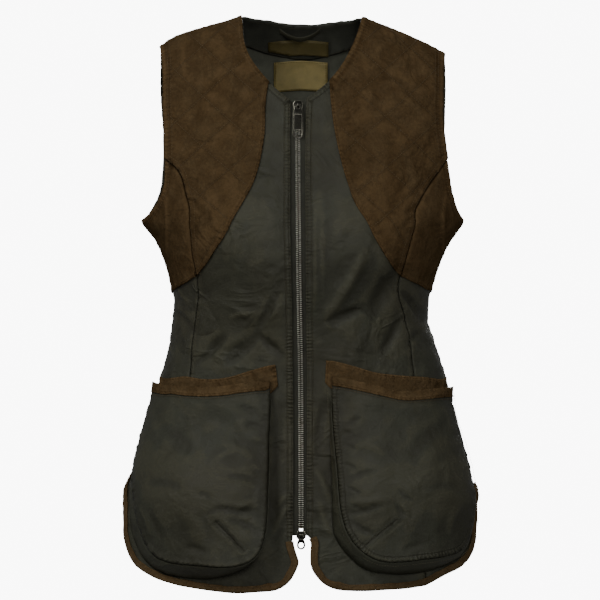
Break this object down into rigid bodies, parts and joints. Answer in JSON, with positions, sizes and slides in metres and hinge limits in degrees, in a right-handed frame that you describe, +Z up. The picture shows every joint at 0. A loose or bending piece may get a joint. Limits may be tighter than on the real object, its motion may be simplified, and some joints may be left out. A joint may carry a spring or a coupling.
{
  "type": "vest",
  "caption": "Women's sleeveless shooting vest in waxed cotton, worn shape: suede shoulder patches and binding, full length two way zip, bellows patch pockets.",
  "frame": {"origin": "midway between the shoulder seams, at the height where the wearer's shoulders carry the vest", "axes": "+Z up, the vest's front faces -Y, +X is to the right of someone who looks at the front"},
  "size_m": [0.4243, 0.2614, 0.6815],
  "materials": {
    "waxed_cotton": "waxed, low sheen",
    "suede": "napped suede",
    "suede_trim": "napped suede",
    "facing_cloth": "matt twill",
    "zip_tape": "woven tape",
    "label_dark": "woven label",
    "label_gold": "satin woven label",
    "zip_metal": "antique metal",
    "dark_metal": "dark plated metal"
  },
  "bodies": {
    "vest": {"back": "waxed_cotton", "front_left": "waxed_cotton", "front_right": "waxed_cotton", "hanger_loop": "waxed_cotton", "hem_binding_back": "suede_trim", "hem_binding_left": "suede_trim", "hem_binding_right": "suede_trim", "label_lower": "label_gold", "label_upper": "label_dark", "neck_facing": "facing_cloth", "patch_front_left": "suede", "patch_front_right": "suede", "patch_side_left": "suede", "patch_side_right": "suede", "pocket_band_left": "suede_trim", "pocket_band_right": "suede_trim", "pocket_face_left": "waxed_cotton", "pocket_face_right": "waxed_cotton", "pocket_gusset_left": "waxed_cotton", "pocket_gusset_right": "waxed_cotton", "pocket_trim_left": "suede_trim", "pocket_trim_right": "suede_trim", "side_left": "waxed_cotton", "side_right": "waxed_cotton", "slider_lower": "dark_metal", "slider_upper": "dark_metal", "zip_chain": "zip_metal", "zip_tape_left": "zip_tape", "zip_tape_right": "zip_tape"},
    "upper_tab": {"pull_tab_upper": "dark_metal"},
    "lower_tab": {"pull_tab_lower": "dark_metal"}
  },
  "joints": [
    {"name": "upper_tab_hinge", "type": "hinge", "parent": "vest", "child": "upper_tab", "pos_m": [-0.00468, -0.08598, -0.08677], "axis": [-1, 0, 0], "range_deg": [0, 160]},
    {"name": "lower_tab_hinge", "type": "hinge", "parent": "vest", "child": "lower_tab", "pos_m": [-0.00107, -0.1213, -0.59184], "axis": [-1, 0, 0], "range_deg": [0, 160]}
  ]
}
